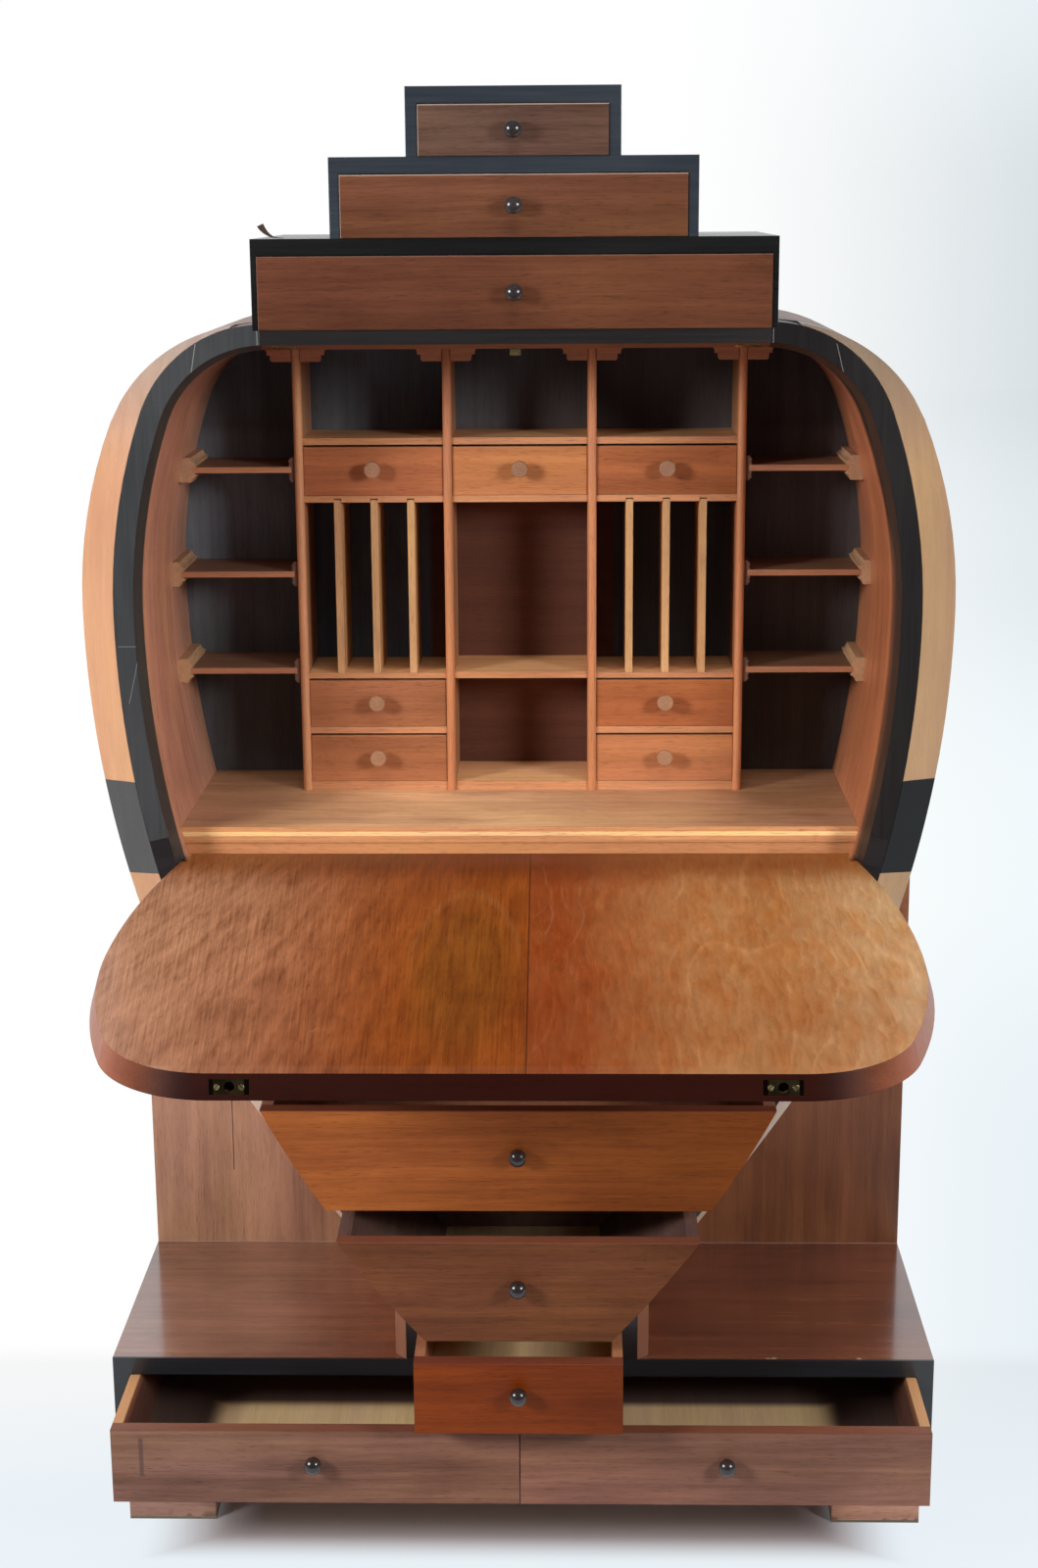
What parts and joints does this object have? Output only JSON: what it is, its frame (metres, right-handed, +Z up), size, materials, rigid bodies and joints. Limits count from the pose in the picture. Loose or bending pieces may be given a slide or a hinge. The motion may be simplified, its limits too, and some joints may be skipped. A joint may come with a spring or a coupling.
{
  "type": "writing desk",
  "caption": "Balloon-shaped writing desk with a drop flap open over pulled-out drawers, pigeonholes inside, a stepped drawer top and a wide plinth on block feet.",
  "frame": {"origin": "bottom centre of the bounding box, on the floor", "axes": "+X to the desk's right as seen from the front, -Y towards the user, +Z up"},
  "size_m": [0.91, 0.8384, 1.559],
  "materials": {
    "mahogany": "polished shellac",
    "ebonised": "black polish",
    "light_wood": "satin",
    "inner_wood": "satin",
    "felt": "matte felt",
    "brass": "dull"
  },
  "bodies": {
    "case": {"plinth_case": "mahogany", "plinth_front": "ebonised", "feet": "mahogany", "foot_pads": "felt", "back_panel": "mahogany", "side_left": "mahogany", "side_right": "mahogany", "case_top": "mahogany", "frame_left": "ebonised", "frame_right": "ebonised", "top_rail": "ebonised", "block_front": "ebonised", "bevel_left": "light_wood", "bevel_right": "light_wood", "belts": "ebonised", "step1_case": "ebonised", "step2_case": "ebonised", "step3_case": "ebonised", "floor_board": "inner_wood", "dust_boards": "inner_wood", "dividers": "mahogany", "unit_shelves": "inner_wood", "slot_partitions": "light_wood", "brackets": "mahogany", "side_shelves": "inner_wood", "shelf_clips": "light_wood", "catches": "brass"},
    "flap": {"flap": "mahogany", "flap_strikes": "brass", "flap_hinges": "brass"},
    "drawer_plinth_left": {"drawer_plinth_left": "mahogany", "knob_plinth_left": "ebonised"},
    "drawer_plinth_right": {"drawer_plinth_right": "mahogany", "knob_plinth_right": "ebonised"},
    "drawer_low": {"drawer_low": "mahogany", "knob_low": "ebonised"},
    "drawer_mid": {"drawer_mid": "mahogany", "knob_mid": "ebonised"},
    "drawer_top": {"drawer_top": "mahogany", "knob_top": "ebonised"},
    "drawer_step1": {"drawer_step1": "mahogany", "knob_step1": "ebonised"},
    "drawer_step2": {"drawer_step2": "mahogany", "knob_step2": "ebonised"},
    "drawer_step3": {"drawer_step3": "mahogany", "knob_step3": "ebonised"},
    "drawer_a1": {"drawer_a1": "inner_wood", "knob_a1": "light_wood"},
    "drawer_a2": {"drawer_a2": "inner_wood", "knob_a2": "light_wood"},
    "drawer_a3": {"drawer_a3": "inner_wood", "knob_a3": "light_wood"},
    "drawer_b1": {"drawer_b1": "inner_wood", "knob_b1": "light_wood"},
    "drawer_b3": {"drawer_b3": "inner_wood", "knob_b3": "light_wood"},
    "drawer_c1": {"drawer_c1": "inner_wood", "knob_c1": "light_wood"},
    "drawer_c3": {"drawer_c3": "inner_wood", "knob_c3": "light_wood"}
  },
  "joints": [
    {"name": "flap_hinge", "type": "hinge", "parent": "case", "child": "flap", "pos_m": [0, 0.12121, 0.769], "axis": [-1, 0, 0], "range_deg": [0, 94]},
    {"name": "plinth_left_slide", "type": "slide", "parent": "case", "child": "drawer_plinth_left", "axis": [0, -1, 0], "range_m": [-0.121, 0.094]},
    {"name": "plinth_right_slide", "type": "slide", "parent": "case", "child": "drawer_plinth_right", "axis": [0, -1, 0], "range_m": [-0.121, 0.094]},
    {"name": "low_slide", "type": "slide", "parent": "case", "child": "drawer_low", "axis": [0, -1, 0], "range_m": [-0.162, 0.053]},
    {"name": "mid_slide", "type": "slide", "parent": "case", "child": "drawer_mid", "axis": [0, -1, 0], "range_m": [-0.15, 0.065]},
    {"name": "top_slide", "type": "slide", "parent": "case", "child": "drawer_top", "axis": [0, -1, 0], "range_m": [-0.115, 0.1]},
    {"name": "step1_slide", "type": "slide", "parent": "case", "child": "drawer_step1", "axis": [0, -1, 0], "range_m": [0, 0.2]},
    {"name": "step2_slide", "type": "slide", "parent": "case", "child": "drawer_step2", "axis": [0, -1, 0], "range_m": [0, 0.2]},
    {"name": "step3_slide", "type": "slide", "parent": "case", "child": "drawer_step3", "axis": [0, -1, 0], "range_m": [0, 0.2]},
    {"name": "a1_slide", "type": "slide", "parent": "case", "child": "drawer_a1", "axis": [0, -1, 0], "range_m": [0, 0.062]},
    {"name": "a2_slide", "type": "slide", "parent": "case", "child": "drawer_a2", "axis": [0, -1, 0], "range_m": [0, 0.062]},
    {"name": "a3_slide", "type": "slide", "parent": "case", "child": "drawer_a3", "axis": [0, -1, 0], "range_m": [0, 0.062]},
    {"name": "b1_slide", "type": "slide", "parent": "case", "child": "drawer_b1", "axis": [0, -1, 0], "range_m": [0, 0.062]},
    {"name": "b3_slide", "type": "slide", "parent": "case", "child": "drawer_b3", "axis": [0, -1, 0], "range_m": [0, 0.062]},
    {"name": "c1_slide", "type": "slide", "parent": "case", "child": "drawer_c1", "axis": [0, -1, 0], "range_m": [0, 0.062]},
    {"name": "c3_slide", "type": "slide", "parent": "case", "child": "drawer_c3", "axis": [0, -1, 0], "range_m": [0, 0.062]}
  ]
}
